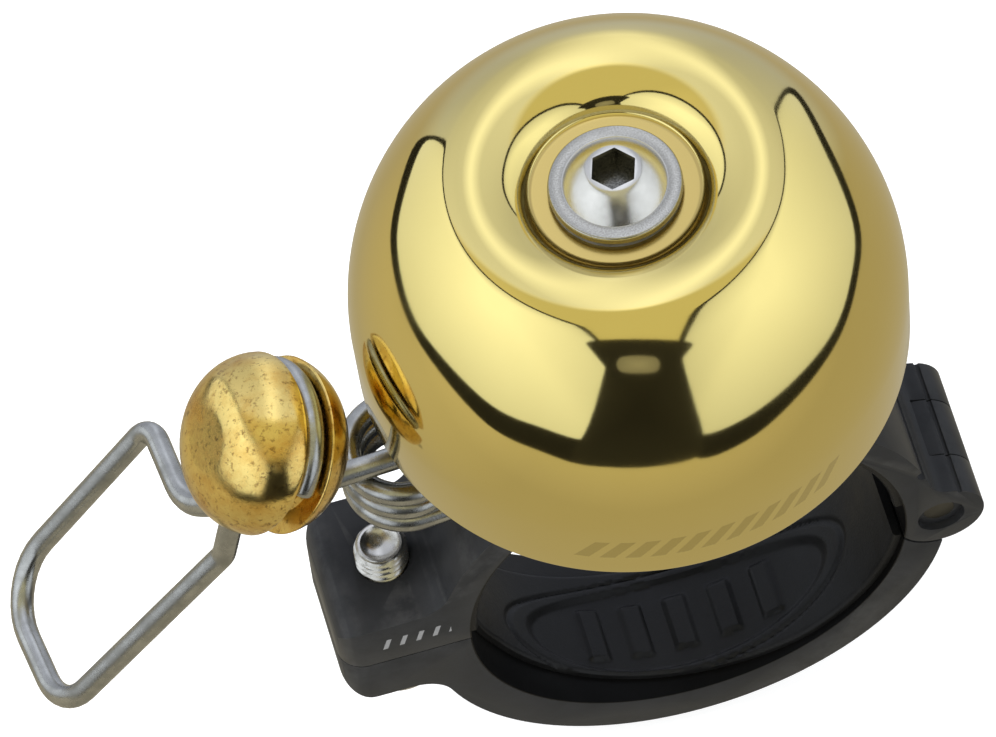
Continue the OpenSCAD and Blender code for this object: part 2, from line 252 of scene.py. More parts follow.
# Colours, as linear red, green and blue
BRASS = (0.81, 0.67, 0.25)
BRASS_CLOUD = (0.78, 0.63, 0.22)
BRASS_MARK = (0.50, 0.40, 0.13)
# Seat colour: painted shade of the recessed seat, and its duller polish
BRASS_SEAT_SHADE_AND_DULL = (0.50, 0.36, 0.11)
WORN_YELLOW = (0.83, 0.62, 0.20)
WORN_BROWN = (0.64, 0.37, 0.075)
WORN_SPECK = (0.20, 0.10, 0.02)
WIRE_BRIGHT = (0.46, 0.46, 0.43)
WIRE_SMUDGE = (0.30, 0.30, 0.28)
# Socket colour: painted shade deep in the hex socket
SOCKET_SHADE = (0.04, 0.04, 0.033)
FLANGE_SPECK = (0.24, 0.23, 0.185)
COAT_BLACK = (0.018, 0.0185, 0.0195)
COAT_DUST = (0.025, 0.0255, 0.027)
COAT_WORN = (0.04, 0.04, 0.04)
# Bore colour: painted shade in the deep bore
BORE_SHADE = (0.002, 0.002, 0.002)
TICK_GREY = (0.22, 0.22, 0.22)


def node(tree, kind, *values, props=None, **inputs):
    """Adds a shader node. Its inputs are given in order or by name, as values or as sockets."""
    made = tree.nodes.new("ShaderNode" + kind)
    for key, value in (props or {}).items():
        setattr(made, key, value)
    named = {key.replace("_", " "): value for key, value in inputs.items()}
    for key, value in list(enumerate(values)) + list(named.items()):
        if isinstance(value, bpy.types.NodeSocket):
            tree.links.new(value, made.inputs[key])
        elif value is not None:
            made.inputs[key].default_value = value
    return made


def maths(tree, operation, a, b=0.0):
    """The result of one math node."""
    return node(tree, "Math", a, b, props={"operation": operation}).outputs[0]


def product(tree, first, *others):
    """The product of several values."""
    for other in others:
        first = maths(tree, "MULTIPLY", first, other)
    return first


def within(tree, value, middle, half_width):
    """1 where the value is less than half_width from the middle, otherwise 0."""
    off = maths(tree, "ABSOLUTE", maths(tree, "SUBTRACT", value, middle))
    return maths(tree, "LESS_THAN", off, half_width)


def span(tree, value, low, high, to_low=0.0, to_high=1.0):
    """Maps low..high to to_low..to_high, held at the ends."""
    return node(tree, "MapRange", value, low, high, to_low, to_high).outputs[0]


def blend_colour(tree, factor, a, b):
    """Goes from colour a to colour b as the factor goes from 0 to 1."""
    mix = node(tree, "Mix", factor, props={"data_type": "RGBA"})
    for socket, colour in ((mix.inputs[6], a), (mix.inputs[7], b)):
        if isinstance(colour, bpy.types.NodeSocket):
            tree.links.new(colour, socket)
        else:
            socket.default_value = (*colour, 1)
    return mix.outputs[2]


def position(tree):
    """Position on the piece, in metres."""
    return node(tree, "TexCoord").outputs["Object"]


def split(tree, vector):
    """The x, y and z of a vector."""
    return node(tree, "SeparateXYZ", vector).outputs


def length_along(tree, vector, axes):
    """Length of a vector along the axes that are 1 in axes."""
    flat = node(tree, "VectorMath", vector, axes, props={"operation": "MULTIPLY"}).outputs[0]
    return node(tree, "VectorMath", flat, props={"operation": "LENGTH"}).outputs["Value"]


def from_dome_axis(tree):
    """Distance from the dome's axis, in metres."""
    to_axis = (-DOME_AXIS_X * MM, 0, 0)
    moved = node(tree, "VectorMath", position(tree), to_axis, props={"operation": "ADD"}).outputs[0]
    return length_along(tree, moved, (1, 1, 0))


def noise(tree, size_mm, detail=4.0, rough=0.55, stretch=(1, 1, 1)):
    """Noise whose lumps are about size_mm wide, along axes that are scaled by stretch."""
    where = node(tree, "Mapping", position(tree), Scale=stretch).outputs[0]
    return node(tree, "TexNoise", where, Scale=1 / (size_mm * MM), Detail=detail,
                Roughness=rough).outputs["Fac"]


def bump(tree, height, depth_mm, before=None):
    """A normal bent by a height from 0 to 1, over the normal before it."""
    return node(tree, "Bump", Strength=1.0, Distance=depth_mm * MM, Height=height,
                Normal=before).outputs[0]


def new_material(name):
    """An empty material: its tree and its principled shader."""
    material = bpy.data.materials.new(name)
    material.use_nodes = True
    return material, material.node_tree, material.node_tree.nodes["Principled BSDF"]


def finish_with(tree, shader, **inputs):
    """Sets the shader's inputs, as values or as sockets."""
    for key, value in inputs.items():
        socket = shader.inputs[key.replace("_", " ")]
        if isinstance(value, bpy.types.NodeSocket):
            tree.links.new(value, socket)
        else:
            socket.default_value = value


def engraving(tree):
    """1 in a row of slanted dashes round the front of the dome's skirt, otherwise 0."""
    row_z, row_half_height = DOME_Z - 2.0, 1.1
    row_middle, row_half_width = 0.03, 0.5      # radians round the dome
    dashes_per_radian, dash_half_share = 11.0, 0.3
    slant = 38.0                                # radians per metre
    place = split(tree, position(tree))
    across = maths(tree, "SUBTRACT", place[0], DOME_AXIS_X * MM)
    angle = maths(tree, "ARCTAN2", across, maths(tree, "MULTIPLY", place[1], -1.0))
    height = maths(tree, "SUBTRACT", place[2], row_z * MM)
    slanted = maths(tree, "SUBTRACT", angle, maths(tree, "MULTIPLY", height, slant))
    dash = maths(tree, "FRACT", maths(tree, "MULTIPLY", slanted, dashes_per_radian))
    return product(tree, within(tree, dash, 0.5, dash_half_share),
                   within(tree, height, 0.0, row_half_height * MM),
                   within(tree, slanted, row_middle, row_half_width))


def polished_brass():
    """Mirror polished brass with fine scratches, an engraved row and a duller seat for the screw,
    painted darker as shade of its recess.
    """
    material, tree, shader = new_material("polished_brass")
    mark = engraving(tree)
    seat = span(tree, from_dome_axis(tree), (SEAT_R - 0.1) * MM, SEAT_R * MM, 1.0, 0.0)
    cloud = noise(tree, 9)
    colour = blend_colour(tree, cloud, BRASS, BRASS_CLOUD)
    colour = blend_colour(tree, maths(tree, "MULTIPLY", mark, 0.6), colour, BRASS_MARK)
    # The seat is painted darker: partly painted shade of its recess, partly duller polish.
    colour = blend_colour(tree, maths(tree, "MULTIPLY", seat, 0.8), colour, BRASS_SEAT_SHADE_AND_DULL)
    grain = noise(tree, 0.12, 2)
    scratches = noise(tree, 0.5, 6, 0.7, stretch=(1, 1, 0.08))
    height = maths(tree, "ADD", maths(tree, "MULTIPLY", grain, 0.25), scratches)
    relief = bump(tree, height, 0.0006)
    dulled = maths(tree, "MULTIPLY", maths(tree, "MAXIMUM", mark, seat), 0.12)
    finish_with(tree, shader, Base_Color=colour, Metallic=1.0,
                Roughness=maths(tree, "ADD", span(tree, cloud, 0.3, 0.7, 0.05, 0.09), dulled),
                Normal=bump(tree, maths(tree, "MULTIPLY", mark, -1.0), 0.05, relief))
    return material


def worn_brass():
    """The striker ball's brass: yellow where it is handled, brown and speckled elsewhere."""
    material, tree, shader = new_material("worn_brass")
    patches = noise(tree, 3.2, 8, 0.68)
    specks = noise(tree, 0.45, 5, 0.7)
    colour = blend_colour(tree, span(tree, patches, 0.42, 0.68), WORN_YELLOW, WORN_BROWN)
    colour = blend_colour(tree, span(tree, specks, 0.54, 0.68, 0.0, 0.8), colour, WORN_SPECK)
    finish_with(tree, shader, Base_Color=colour, Metallic=1.0,
                Roughness=span(tree, patches, 0.35, 0.7, 0.10, 0.30),
                Normal=bump(tree, specks, 0.008))
    return material


def drawn_steel():
    """Spring wire: satin, with fine lines and grey smudges."""
    material, tree, shader = new_material("drawn_steel")
    smudge = noise(tree, 1.6, 6, 0.65)
    grain = noise(tree, 0.16, 4, 0.7)
    colour = blend_colour(tree, span(tree, smudge, 0.35, 0.7), WIRE_BRIGHT, WIRE_SMUDGE)
    finish_with(tree, shader, Base_Color=colour, Metallic=1.0,
                Roughness=span(tree, smudge, 0.3, 0.7, 0.20, 0.34),
                Normal=bump(tree, grain, 0.006))
    return material


def socket_shade_and_flange_specks(tree, colour, grain, socket_top):
    """Paints shade in the socket of the dome's screw below socket_top, in millimetres, and darker specks
    on its flange.
    """
    socket_r = 1.78
    z = split(tree, position(tree))[2]
    from_axis = from_dome_axis(tree)
    deep = span(tree, z, (socket_top - 0.5) * MM, (socket_top - 0.05) * MM, 1.0, 0.0)
    inside = maths(tree, "LESS_THAN", from_axis, socket_r * MM)
    # Painted shade: darker the deeper in the socket, uneven with the grain.
    socket_shade = product(tree, deep, inside, span(tree, grain, 0.4, 0.6, 0.97, 0.7))
    colour = blend_colour(tree, socket_shade, colour, SOCKET_SHADE)
    flange = span(tree, from_axis, (BUTTON_R + 0.02) * MM, (BUTTON_R + 0.1) * MM)
    specks = span(tree, grain, 0.35, 0.65, 0.35, 0.75)
    return blend_colour(tree, product(tree, flange, specks), colour, FLANGE_SPECK)


def bright_steel(name, rough, tone, socket_top=None):
    """Machined steel, with painted shade in its socket if its top is given."""
    material, tree, shader = new_material(name)
    smudge = noise(tree, 1.1, 5, 0.6)
    grain = noise(tree, 0.12, 4, 0.7)
    colour = blend_colour(tree, smudge, (tone, tone * 0.97, tone * 0.88),
                          (tone * 0.8, tone * 0.78, tone * 0.71))
    if socket_top:
        colour = socket_shade_and_flange_specks(tree, colour, grain, socket_top)
    finish_with(tree, shader, Metallic=1.0, Base_Color=colour,
                Roughness=span(tree, smudge, 0.3, 0.7, rough, rough + 0.12),
                Normal=bump(tree, grain, 0.004))
    return material


def printed_ticks(tree):
    """1 in a short row of printed ticks on the front of the upper tab, otherwise 0."""
    row_x, row_half_width = -20.7, 2.7
    row_z, row_half_height = 2.4, 0.6
    tick_pitch, tick_share, lean = 1.25, 0.3, 0.3
    front_normal = -0.9
    place = split(tree, position(tree))
    facing = split(tree, node(tree, "NewGeometry").outputs["Normal"])[1]
    leaning = maths(tree, "SUBTRACT", place[0], maths(tree, "MULTIPLY", place[2], lean))
    counted = maths(tree, "MULTIPLY", leaning, 1 / (tick_pitch * MM))
    tick = maths(tree, "LESS_THAN", maths(tree, "FRACT", counted), tick_share)
    return product(tree, tick, within(tree, place[2], row_z * MM, row_half_height * MM),
                   within(tree, place[0], row_x * MM, row_half_width * MM),
                   maths(tree, "LESS_THAN", facing, front_normal))


def black_clamp(name, rough, printed=False):
    """Black coated aluminium with a fine orange peel, lighter worn edges and painted shade in the bore.
    """
    material, tree, shader = new_material(name)
    peel = noise(tree, 0.35, 3)
    dust = noise(tree, 2.5, 7, 0.7)
    edge = span(tree, node(tree, "NewGeometry").outputs["Pointiness"], 0.53, 0.60)
    wear = maths(tree, "MULTIPLY", edge, span(tree, dust, 0.4, 0.65))
    colour = blend_colour(tree, span(tree, dust, 0.35, 0.75), COAT_BLACK, COAT_DUST)
    colour = blend_colour(tree, wear, colour, COAT_WORN)
    # Painted shade: the bore is painted near black, as the deep gap lies in shadow.
    from_bar = length_along(tree, position(tree), (1, 0, 1))
    shaded_bore = maths(tree, "LESS_THAN", from_bar, (BORE_R + 0.1) * MM)
    colour = blend_colour(tree, shaded_bore, colour, BORE_SHADE)
    if printed:
        colour = blend_colour(tree, printed_ticks(tree), colour, TICK_GREY)
    finish_with(tree, shader, Base_Color=colour, Specular_IOR_Level=0.12,
                Roughness=span(tree, dust, 0.3, 0.7, rough, rough + 0.10),
                Normal=bump(tree, peel, 0.004))
    return material


def black_rubber(name, tone=0.005):
    """Matt rubber or nylon with a fine moulded grain and a little dust."""
    material, tree, shader = new_material(name)
    grain = noise(tree, 0.18, 4)
    dust = noise(tree, 3, 7, 0.7)
    colour = blend_colour(tree, span(tree, dust, 0.4, 0.8), (tone,) * 3, (tone * 2.2,) * 3)
    finish_with(tree, shader, Base_Color=colour, Specular_IOR_Level=0.24,
                Roughness=span(tree, dust, 0.3, 0.7, 0.42, 0.6),
                Normal=bump(tree, grain, 0.015))
    return material


# ---------------------------------------------------------------- places

def turned_about_dome(degrees=0.0):
    """A frame whose Z is the dome's axis, in metres."""
    return Matrix.Translation((DOME_AXIS_X * MM, 0, 0)) @ Matrix.Rotation(math.radians(degrees), 4, "Z")


AT_DOME = turned_about_dome()
STRIKER_TURN = 3                       # the striker points along -X and a little forwards
AT_STRIKER = turned_about_dome(STRIKER_TURN)


# ---------------------------------------------------------------- pieces

def dome_skin(inset):
    """The dome's outline at a distance in from its outside: skirt, sphere, rolled crown, seat."""
    crown_pull, seat_pull = 2.6, 2.2
    side = arc((0, DOME_Z), DOME_R - inset, 0, CROWN_ANGLE, steps=60)
    crown = side[-1]
    lean, wall = math.radians(CROWN_ANGLE), math.radians(SEAT_WALL)
    lead_in = (crown[0] - crown_pull * math.sin(lean), crown[1] + crown_pull * math.cos(lean))
    seat = (SEAT_R, SEAT_Z - inset)
    lead_out = (seat[0] + seat_pull * math.cos(wall), seat[1] + seat_pull * math.sin(wall))
    return side + bezier(crown, lead_in, lead_out, seat, steps=40)


def round_foot(skin, radius):
    """Rounds the hollow corner at the end of the dome's skin, where its wall meets the flat seat."""
    trim = radius * math.tan(math.radians(SEAT_WALL) / 2)
    foot = skin[-1]
    kept = [p for p in skin if math.dist(p, foot) > 1.1 * trim]
    return kept + arc((foot[0] - trim, foot[1] + radius), radius, SEAT_WALL - 90, -90, steps=10)


def make_dome():
    """The dome, a mirror polished shell that is turned as one piece."""
    edge_r, lip_draft, hole_r, foot_r = 0.4, 0.1, 3.6, 0.6
    lip = DOME_Z - SKIRT_H
    outer, inner = round_foot(dome_skin(0), foot_r), dome_skin(DOME_WALL)
    edge = arc((DOME_R - lip_draft - edge_r, lip + edge_r), edge_r, -90, 0, steps=5)
    hole = [(hole_r, SEAT_Z), (hole_r, SEAT_Z - DOME_WALL)]
    inner_edge = arc((DOME_R - DOME_WALL + edge_r, lip + edge_r), edge_r, -180, -90, steps=5)
    outline = edge + outer + hole + inner[::-1] + inner_edge
    mesh = build_mesh("dome", *lathe(outline, 256), crease=50, place=AT_DOME)
    add_piece("dome", mesh, "mounting", polished_brass(), ["bell_dome"])


def make_dome_screw():
    """The dome's screw: a shank, a flange and a button head with a hexagonal socket."""
    seat = SEAT_Z + 0.4
    shank_r, shank_end, chamfer = 2.5, 35.1, 0.2
    flange_r, flange_t, lower_edge, upper_edge, draft = 4.8, 0.65, 0.15, 0.2, 0.05
    button_low, button_high = math.radians(40), math.radians(51)
    head_r, head_h, head_rise = 1.8, 2.42, 0.01
    socket_top, socket_af, socket_depth, socket_turn = 2.5, 3.0, 2.1, 12
    outline = [(0, shank_end), (shank_r - chamfer, shank_end), (shank_r, shank_end + chamfer),
               (shank_r, seat), (flange_r - lower_edge, seat)]
    outline += arc((flange_r - lower_edge, seat + lower_edge), lower_edge, -90, 0, steps=3)
    outline += arc((flange_r - draft - upper_edge, seat + flange_t - upper_edge),
                   upper_edge, 0, 80, steps=4)
    outline += [(BUTTON_R + draft, seat + flange_t + 0.03)]
    outline += arc((BUTTON_R - BUTTON_ARC_R * math.cos(button_low),
                    seat + flange_t - BUTTON_ARC_R * math.sin(button_low)),
                   BUTTON_ARC_R, math.degrees(button_low), math.degrees(button_high), steps=10)
    outline += [(head_r, seat + head_h), (0, seat + head_h + head_rise)]
    mesh = build_mesh("dome_screw_body", *lathe(outline, 128, closed=False), place=AT_DOME)
    head = turned_about_dome(socket_turn) @ Matrix.Translation((0, 0, (seat + socket_top) * MM))
    mesh = cut_hex(mesh, socket_af, head, socket_depth)
    steel = bright_steel("screw_steel", 0.15, 0.68, socket_top=seat + socket_top - 0.1)
    add_piece("button_screw", mesh, "mounting", steel, ["dome_screw"])


# The ball's axis rises outwards; the wire sits in a groove nearer the dome
BALL_TILT = math.radians(35)
BALL_C = Vector((-27.77, 0, 27.6))
BALL_AXIS = Vector((-math.cos(BALL_TILT), 0, math.sin(BALL_TILT)))
BALL_R = 6.6
BALL_HALF = 5.0
BALL_ROUND = 4.6
GROOVE_OFF = 0.45
GROOVE_W = 2.3
GROOVE_C = BALL_C - GROOVE_OFF * BALL_AXIS
GROOVE_R = 5.45
LOOP_X = -29.6


def groove_point(degrees):
    """A point of the wire's circle in the groove: 0 is at the top and 90 at the front."""
    up = Vector((math.sin(BALL_TILT), 0, math.cos(BALL_TILT)))
    a = math.radians(degrees)
    return GROOVE_C + GROOVE_R * (math.cos(a) * up + math.sin(a) * Vector((0, -1, 0)))


def loop_point(forwards, down):
    """A point of the finger loop's plane, which dips outwards."""
    dip = math.radians(50)
    return Vector((LOOP_X - down * math.cos(dip), -forwards, ARM_Z - down * math.sin(dip)))


def coil_path():
    """The wire's straight tail, its coil and the half turn that rises to the arm."""
    centre = Vector((-17.85, 1.65, COIL_Z))
    turns, tail, steps, rise_steps = 2.5, 8.4, 120, 24
    path = [centre + Vector((tail, -COIL_R, 0))]
    for i in range(steps + 1):
        a = math.tau * turns * i / steps
        rise = turns * COIL_PITCH * i / steps
        path.append(centre + Vector((-COIL_R * math.sin(a), -COIL_R * math.cos(a), rise)))
    top = centre.z + turns * COIL_PITCH
    last_r = (centre.y + COIL_R) / 2
    for i in range(1, rise_steps + 1):
        a = math.pi * i / rise_steps
        path.append(Vector((centre.x + last_r * math.sin(a), last_r + last_r * math.cos(a),
                            top + (ARM_Z - top) * i / rise_steps)))
    return path


def make_wire():
    """One length of spring wire: tail, coil, arm, finger loop and the turn round the ball."""
    wrap_start, wrap, wrap_steps, lead = 190, 245, 60, 2
    tangent = (groove_point(wrap_start + 1) - groove_point(wrap_start - 1)).normalized()
    path = coil_path()
    bends = [(path[-1], 0), (loop_point(0, 0), 1.5), (loop_point(-4.4, 6.2), 4),
             (loop_point(-12, 6.6), 1.8), (loop_point(-12, 26.8), 4.8), (loop_point(0.4, 25.6), 3.6),
             (loop_point(1.4, 4.2), 1.8), (groove_point(wrap_start) - lead * tangent, 1.3),
             (groove_point(wrap_start), 0)]
    path = path[:-1] + rounded_path(*zip(*bends))
    path += [groove_point(wrap_start + wrap * i / wrap_steps) for i in range(1, wrap_steps + 1)]
    points, faces = sweep(even_path(path, 0.6), WIRE_R)
    mesh = build_mesh("wire", points, faces, crease=50, place=AT_STRIKER)
    wire = add_piece("wire", mesh, None, drawn_steel(),
                     ["striker_coil", "striker_lever"])
    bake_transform(wire)


def rounded_end(start_z, steps=30):
    """The ball's turned outline from its widest circle at height start_z to its flat end."""
    centre = (BALL_R - BALL_ROUND, BALL_HALF - BALL_ROUND)
    first = math.degrees(math.asin(max(0.0, start_z - centre[1]) / BALL_ROUND))
    return arc(centre, BALL_ROUND, first, 90, steps) + [(0, BALL_HALF)]


def make_ball():
    """The ball is turned with a rounded rim, flat ends and a groove for the wire."""
    floor_r = GROOVE_R - WIRE_R - 0.05
    front, back = GROOVE_W / 2 - GROOVE_OFF, -GROOVE_W / 2 - GROOVE_OFF
    edge, corner = 0.12, 0.3
    outer = rounded_end(front + edge)
    inner = [(r, -z) for r, z in rounded_end(-back + edge)]
    rim = inner[0][0]
    groove = [(BALL_R - edge / 3, front + edge / 3), (BALL_R - edge, front),
              (floor_r + corner, front), (floor_r, front - corner),
              (floor_r, back + corner), (floor_r + corner, back),
              (rim - edge, back), (rim - edge / 3, back - edge / 3)]
    outline = outer[::-1] + groove + inner
    tilt = Matrix.Rotation(BALL_TILT - math.pi / 2, 4, "Y")
    place = AT_STRIKER @ Matrix.Translation(BALL_C * MM) @ tilt
    mesh = build_mesh("ball", *lathe(outline, 160, closed=False), crease=38, place=place)
    add_piece("ball", mesh, "striker", worn_brass(), ["striker_ball"])


def ring_points(rings, sides):
    """Points of rings round Z, each given by its radius and height."""
    turn = [math.tau * k / sides for k in range(sides)]
    return [(r * math.cos(a), r * math.sin(a), z) for r, z in rings for a in turn]


def make_clamp_screw():
    """M4 screw with rolled thread, a cup point and a round head below the tabs."""
    pitch, depth, r, sides = 0.7, 0.38, 2.0, 48
    bottom, tip, runout = -5.25, 7.15, 0.45
    head_r, head_h, socket_af, socket_depth = 3.5, 4.0, 3.0, 2.0
    head_low = bottom - head_h
    rings = [(0.2, head_low), (head_r - 0.3, head_low), (head_r, head_low + 0.3),
             (head_r, bottom - 0.2), (head_r - 0.2, bottom - 0.02), (r, bottom - 0.02)]
    points = ring_points(rings, sides)
    rows = int((tip - bottom) / pitch * 8)
    for row in range(rows + 1):
        z = bottom + (tip - bottom) * row / rows
        full = min(1.0, (tip - z) / runout)
        for k in range(sides):
            wave = abs((z / pitch - k / sides) % 1 - 0.5) * 2
            thread = r - depth * min(1, max(0, 1.35 * wave - 0.15))
            radius = full * thread + (1 - full) * (r - depth)
            a = math.tau * k / sides
            points.append((radius * math.cos(a), radius * math.sin(a), z))
    points += ring_points([(1.45, tip), (1.25, tip - 0.22), (0.7, tip - 0.5), (0.15, tip - 0.6)], sides)
    place = Matrix.Translation((SCREW_X * MM, 0, 0))
    mesh = build_mesh("clamp_screw_body", points, tube_faces(len(points) // sides, sides),
                      crease=30, place=place)
    mesh = cut_hex(mesh, socket_af, place @ Matrix.Translation((0, 0, head_low * MM)), socket_depth)
    steel = bright_steel("thread_steel", 0.2, 0.62)
    add_piece("cap_screw", mesh, "pinch_screw", steel, ["clamp_screw"])


def turned_sector(profile, start, end, steps):
    """Sweeps a closed outline of (r, y) points round the bar's axis, between two angles."""
    points = []
    for k in range(steps + 1):
        a = math.radians(start + (end - start) * k / steps)
        points += [(r * math.cos(a), y, r * math.sin(a)) for r, y in profile]
    return points, tube_faces(steps + 1, len(profile))


def clamped(value):
    """The value, held between 0 and 1."""
    return min(1.0, max(0.0, value))


def liner_relief(along, across):
    """Depth of the moulded pattern at a place on the liner: an oval pad with ribs and a rim groove."""
    pad_half_l, pad_half_w, pad_depth, pad_slope = 13.0, 3.9, 0.38, 7
    rim_at, rim_half_w, rim_depth = 1.32, 0.09, 0.22
    rib_pitch, ribs_half_l, ribs_half_w, rib_share = 3.4, 8.6, 2.3, 0.85
    oval = (along / pad_half_l) ** 2 + (across / pad_half_w) ** 2
    pad = pad_depth * clamped((1 - oval) * pad_slope)
    rim = rim_depth * max(0.0, 1 - abs(oval - rim_at) / rim_half_w)
    rib = clamped((abs((along / rib_pitch) % 1 - 0.5) * 2 - 0.45) * 6)
    on_rib = rib * clamped((ribs_half_w - abs(across)) * 4) * clamped((ribs_half_l - abs(along)) * 3)
    return pad * (1 - rib_share * on_rib) + rim


def liner_front(along):
    """Where the lower liner's front edge lies: it is set back towards the tabs."""
    set_back, starts_at, reach, bend = 2.9, 9.0, 26.0, 1.2
    return -LINER_HALF_W + set_back * clamped((starts_at - along) / reach) ** bend


def liner_lip():
    """The lip behind the clamp's strap, as points and faces."""
    wall, rim, low, high = 16.56, 18.6, 5.0, 7.38
    profile = [(16.3, low), (wall, low), (wall, 5.8), (rim - 0.3, 5.8), (rim, 6.05),
               (rim, high - 0.28), (rim - 0.3, high), (16.6, high), (16.3, high - 0.28)]
    return turned_sector(profile, -154.5, -25.5, 120)


def make_liner(name, start, end, body, stands_for, lip):
    """Half of the rubber liner: a strip inside the clamp, moulded and with a lip if asked for."""
    rows, step, back_r = 64, 0.6, BORE_R - 0.03
    edge_drop, edge_w, clear = 0.18, 0.25, 0.05
    steps = int((end - start) / step)
    half = LINER_HALF_W
    profile = [(0, 0)] * (rows + 1) + [(back_r, half), (back_r, -half)]
    points, faces = turned_sector(profile, start, end, steps)
    for k in range(steps + 1):
        angle = math.radians(start + (end - start) * k / steps)
        along = (angle + math.pi / 2) * BAR_R
        front = liner_front(along) if lip else -half
        for i in range(rows + 1):
            y = front + (half - front) * i / rows
            edge = edge_drop * max(0.0, 1 - min(y - front, half - y) / edge_w) ** 2
            depth = liner_relief(along, y) if lip else 0
            r = BAR_R + clear + edge + depth
            points[k * len(profile) + i] = (r * math.cos(angle), y, r * math.sin(angle))
        last = k * len(profile) + len(profile) - 1
        points[last] = (points[last][0], front, points[last][2])
    if lip:
        more, sides = liner_lip()
        faces += [tuple(i + len(points) for i in side) for side in sides]
        points += more
    mesh = build_mesh(name, points, faces, crease=40)
    add_piece(name, mesh, body, black_rubber(name + "_rubber"), stands_for)


def make_liners():
    """Both halves of the liner, which end clear of the hinge's knuckles."""
    make_liner("upper_liner", 4.0, 179.7, "mounting", ["liner_upper"], lip=False)
    make_liner("lower_liner", -176.3, -10.6, "strap", ["liner_lower"], lip=True)


def make_bevelled_parts():
    """Parts whose CAD shape only needs broken edges and a finish."""
    edge = 0.35
    parts = [
        ("clamp_base", "mounting", black_clamp("clamp_black", 0.30, printed=True)),
        ("clamp_strap", "strap", black_clamp("strap_black", 0.34)),
    ]
    for name, body, material in parts:
        mesh = bevelled_copy(name, edge)
        add_piece(name + "_edges", mesh, body, material, [name])


def finish_cad_nodes():
    """CAD nodes that are shown as they are, with a finish."""
    finishes = {
        "center_post": black_clamp("post_metal", 0.3),
        "post_lock_washer": bright_steel("washer_steel", 0.3, 0.5),
        "dome_top_washer": black_rubber("washer_nylon", 0.10),
        "dome_isolator": black_rubber("isolator_rubber"),
        "hinge_pin": bright_steel("pin_steel", 0.35, 0.10),
        "clamp_screw_washer": bright_steel("tab_washer_steel", 0.3, 0.5),
        "spring_set_screw": bright_steel("set_screw_steel", 0.35, 0.2),
    }
    for name, material in finishes.items():
        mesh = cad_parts[name].data
        mesh.materials.clear()
        mesh.materials.append(material)


# ---------------------------------------------------------------- studio

def camera_axes():
    """Right, up and towards-camera directions at the picture's viewing angle."""
    turn, lift, roll = math.radians(8.5), math.radians(59), math.radians(8)
    right = Vector((math.cos(turn), -math.sin(turn), 0))
    away = Vector((math.sin(turn), math.cos(turn), 0))
    up = away * math.sin(lift) + Vector((0, 0, math.cos(lift)))
    towards = -away * math.cos(lift) + Vector((0, 0, math.sin(lift)))
    return (right * math.cos(roll) - up * math.sin(roll),
            right * math.sin(roll) + up * math.cos(roll), towards)


def make_camera():
    """A long lens at the picture's viewing angle."""
    distance, shift_right, shift_up = 800, -12.53, 10.70
    right, up, towards = camera_axes()
    camera = bpy.data.cameras.new("camera")
    camera.sensor_width = 36
    camera.lens = 391.8
    camera.clip_end = 10
    obj = bpy.data.objects.new("camera", camera)
    place = Matrix((right, up, towards)).transposed().to_4x4()
    place.translation = (distance * towards + shift_right * right + shift_up * up) * MM
    obj.matrix_world = place
    bpy.context.scene.collection.objects.link(obj)
    bpy.context.scene.camera = obj


def mirrored_at(across, up):
    """The direction that the dome mirrors to the camera, at a place given in dome radii."""
    right, upwards, towards = camera_axes()
    facing = math.sqrt(1 - across ** 2 - up ** 2)
    normal = across * right + up * upwards + facing * towards
    return 2 * facing * normal - towards


def smooth_loop(outline, steps=6):
    """A closed curve through the outline's points."""
    curve = []
    count = len(outline)
    for i in range(count):
        p0, p1, p2, p3 = (Vector(outline[(i + k) % count]) for k in (-1, 0, 1, 2))
        for step in range(steps):
            t = step / steps
            curve.append(0.5 * (2 * p1 + (p2 - p0) * t + (2 * p0 - 5 * p1 + 4 * p2 - p3) * t * t
                                + (3 * p1 - p0 - 3 * p2 + p3) * t ** 3))
    return curve


def card_mesh(name, outline, distance):
    """A card on a sphere about the dome. Its attribute reach is 0 in the middle and 1 at the edge."""
    centre = Vector((DOME_AXIS_X, 0, DOME_Z))
    loop = smooth_loop(outline)
    middle = sum(loop, Vector((0, 0))) / len(loop)
    rows, around = 10, len(loop)
    spots = [middle.lerp(p, (row + 1) / rows) for row in range(rows) for p in loop] + [middle]
    points = [centre + distance * mirrored_at(*spot) for spot in spots]
    hub = len(points) - 1
    faces = []
    for low in range(0, (rows - 1) * around, around):
        high = low + around
        for k in range(around):
            j = (k + 1) % around
            faces.append((low + k, low + j, high + j, high + k))
    faces += [(k, (k + 1) % around, hub) for k in range(around)]
    mesh = bpy.data.meshes.new(name)
    mesh.from_pydata([p * MM for p in points], [], faces)
    reach = mesh.attributes.new("reach", "FLOAT", "POINT")
    for k in range(hub):
        reach.data[k].value = (k // around + 1) / rows
    return mesh


def light_card(name, outline, distance, brightness, edge_brightness, tint=(1, 1, 1)):
    """A card that the bell sees, but the camera doesn't. Its outline is as the dome mirrors it."""
    mesh = card_mesh(name, outline, distance)
    material, tree, shader = new_material(name)
    tree.nodes.remove(shader)
    reach = node(tree, "Attribute", props={"attribute_name": "reach"}).outputs["Fac"]
    strength = span(tree, reach, 0.15, 1.0, brightness, edge_brightness)
    light = node(tree, "Emission", (*tint, 1), strength)
    tree.links.new(light.outputs[0], tree.nodes["Material Output"].inputs[0])
    mesh.materials.append(material)
    card = bpy.data.objects.new(name, mesh)
    card.visible_camera = False
    card.visible_shadow = False
    bpy.context.scene.collection.objects.link(card)


def grown(outline, margin, sag):
    """The outline pushed outwards by a margin, and its lower points down by a share of their depth."""
    count = len(outline)
    area = sum(outline[i - 1][0] * outline[i][1] - outline[i][0] * outline[i - 1][1]
               for i in range(count))
    turn = math.copysign(1, area)
    pushed = []
    for i in range(count):
        along = Vector(outline[(i + 1) % count]) - Vector(outline[i - 1])
        out = Vector((along.y, -along.x)).normalized() * turn
        drop = Vector((0, -sag * max(0.0, -outline[i][1] - 0.05)))
        pushed.append(tuple(Vector(outline[i]) + out * margin + drop))
    return pushed


